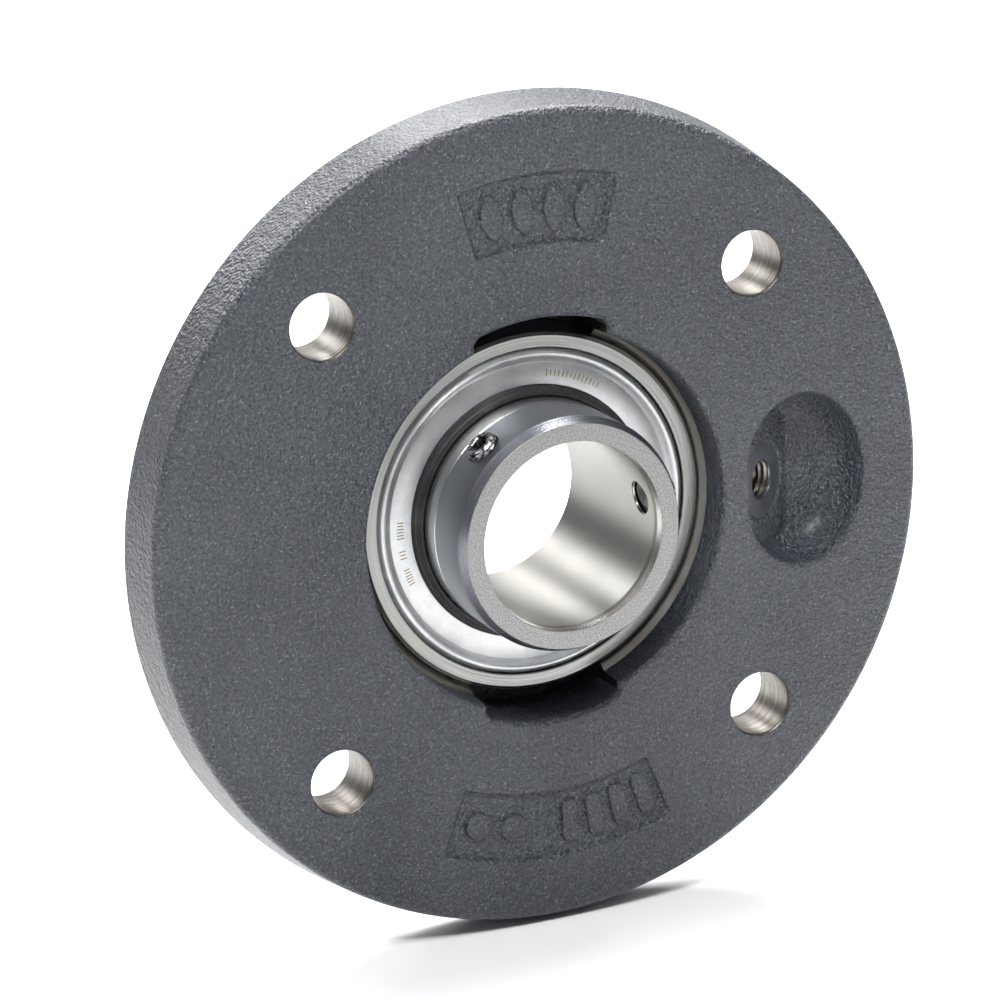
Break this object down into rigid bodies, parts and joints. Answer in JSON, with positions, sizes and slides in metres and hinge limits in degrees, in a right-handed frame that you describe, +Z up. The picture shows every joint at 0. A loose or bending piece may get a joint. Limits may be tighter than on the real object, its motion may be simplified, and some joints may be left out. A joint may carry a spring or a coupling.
{
  "type": "flange mount bearing",
  "caption": "Round flanged bearing unit: cast housing with bolt holes and a rear spigot, and a self-aligning wide-inner-ring ball bearing held to the shaft by grub screws.",
  "frame": {"origin": "centre of the bolt circle, on the mounting face, on the shaft axis", "axes": "+Y along the shaft axis, out of the back of the flange; the front, with the set screws, faces -Y; +Z up, away from the lower loading slot; +X towards the grease pocket"},
  "size_m": [0.2024, 0.0492, 0.2024],
  "materials": {
    "cast_housing": "blue-grey paint over cast iron with a fine cast grain, semi-gloss; bare machined seat and bolt holes",
    "bearing_steel_outer": "ground bearing steel, satin",
    "bearing_steel_inner": "turned and ground bearing steel, satin to polished",
    "zinc_washer": "zinc-plated pressed steel",
    "seal_rubber": "black nitrile rubber, dull",
    "cage_plastic": "natural polyamide",
    "ball_steel": "polished bearing steel",
    "screw_steel": "dark hardened steel, lightly oiled"
  },
  "bodies": {
    "housing": {"housing": "cast_housing"},
    "insert": {"outer_ring": "bearing_steel_outer", "front_seal_outer_washer": "zinc_washer", "front_seal_lip": "seal_rubber", "front_seal_inner_washer": "zinc_washer", "rear_seal_outer_washer": "zinc_washer", "rear_seal_lip": "seal_rubber", "rear_seal_inner_washer": "zinc_washer"},
    "inner": {"inner_ring": "bearing_steel_inner"},
    "cage": {"cage": "cage_plastic"},
    "ball_1": {"ball_1": "ball_steel"},
    "ball_2": {"ball_2": "ball_steel"},
    "ball_3": {"ball_3": "ball_steel"},
    "ball_4": {"ball_4": "ball_steel"},
    "ball_5": {"ball_5": "ball_steel"},
    "ball_6": {"ball_6": "ball_steel"},
    "ball_7": {"ball_7": "ball_steel"},
    "ball_8": {"ball_8": "ball_steel"},
    "ball_9": {"ball_9": "ball_steel"},
    "set_screw_1": {"set_screw_1": "screw_steel"},
    "set_screw_2": {"set_screw_2": "screw_steel"}
  },
  "joints": [
    {"name": "insert_tilt", "type": "hinge", "parent": "housing", "child": "insert", "pos_m": [0, 0.004, 0], "axis": [0, 0, 1], "range_deg": [-2.5, 2.5]},
    {"name": "shaft_spin", "type": "hinge", "parent": "insert", "child": "inner", "pos_m": [0, 0.004, 0], "axis": [0, 1, 0], "continuous": true},
    {"name": "cage_spin", "type": "hinge", "parent": "insert", "child": "cage", "pos_m": [0, 0.004, 0], "axis": [0, 1, 0], "continuous": true},
    {"name": "ball_1_spin", "type": "hinge", "parent": "cage", "child": "ball_1", "pos_m": [0.03101, 0.004, 0.01129], "axis": [0, 1, 0], "continuous": true},
    {"name": "ball_2_spin", "type": "hinge", "parent": "cage", "child": "ball_2", "pos_m": [0.0165, 0.004, 0.02858], "axis": [0, 1, 0], "continuous": true},
    {"name": "ball_3_spin", "type": "hinge", "parent": "cage", "child": "ball_3", "pos_m": [-0.00573, 0.004, 0.0325], "axis": [0, 1, 0], "continuous": true},
    {"name": "ball_4_spin", "type": "hinge", "parent": "cage", "child": "ball_4", "pos_m": [-0.02528, 0.004, 0.02121], "axis": [0, 1, 0], "continuous": true},
    {"name": "ball_5_spin", "type": "hinge", "parent": "cage", "child": "ball_5", "pos_m": [-0.033, 0.004, 0], "axis": [0, 1, 0], "continuous": true},
    {"name": "ball_6_spin", "type": "hinge", "parent": "cage", "child": "ball_6", "pos_m": [-0.02528, 0.004, -0.02121], "axis": [0, 1, 0], "continuous": true},
    {"name": "ball_7_spin", "type": "hinge", "parent": "cage", "child": "ball_7", "pos_m": [-0.00573, 0.004, -0.0325], "axis": [0, 1, 0], "continuous": true},
    {"name": "ball_8_spin", "type": "hinge", "parent": "cage", "child": "ball_8", "pos_m": [0.0165, 0.004, -0.02858], "axis": [0, 1, 0], "continuous": true},
    {"name": "ball_9_spin", "type": "hinge", "parent": "cage", "child": "ball_9", "pos_m": [0.03101, 0.004, -0.01129], "axis": [0, 1, 0], "continuous": true},
    {"name": "set_screw_1_drive", "type": "slide", "parent": "inner", "child": "set_screw_1", "axis": [0.6361, 0, -0.7716], "range_m": [-0.002, 0.0008]},
    {"name": "set_screw_2_drive", "type": "slide", "parent": "inner", "child": "set_screw_2", "axis": [-0.9863, 0, -0.165], "range_m": [-0.002, 0.0008]}
  ],
  "couplings": [
    {"joint": "cage_spin", "follows": "shaft_spin", "ratio": 0.4098},
    {"joint": "ball_1_spin", "follows": "shaft_spin", "ratio": -2.6815},
    {"joint": "ball_2_spin", "follows": "shaft_spin", "ratio": -2.6815},
    {"joint": "ball_3_spin", "follows": "shaft_spin", "ratio": -2.6815},
    {"joint": "ball_4_spin", "follows": "shaft_spin", "ratio": -2.6815},
    {"joint": "ball_5_spin", "follows": "shaft_spin", "ratio": -2.6815},
    {"joint": "ball_6_spin", "follows": "shaft_spin", "ratio": -2.6815},
    {"joint": "ball_7_spin", "follows": "shaft_spin", "ratio": -2.6815},
    {"joint": "ball_8_spin", "follows": "shaft_spin", "ratio": -2.6815},
    {"joint": "ball_9_spin", "follows": "shaft_spin", "ratio": -2.6815}
  ]
}
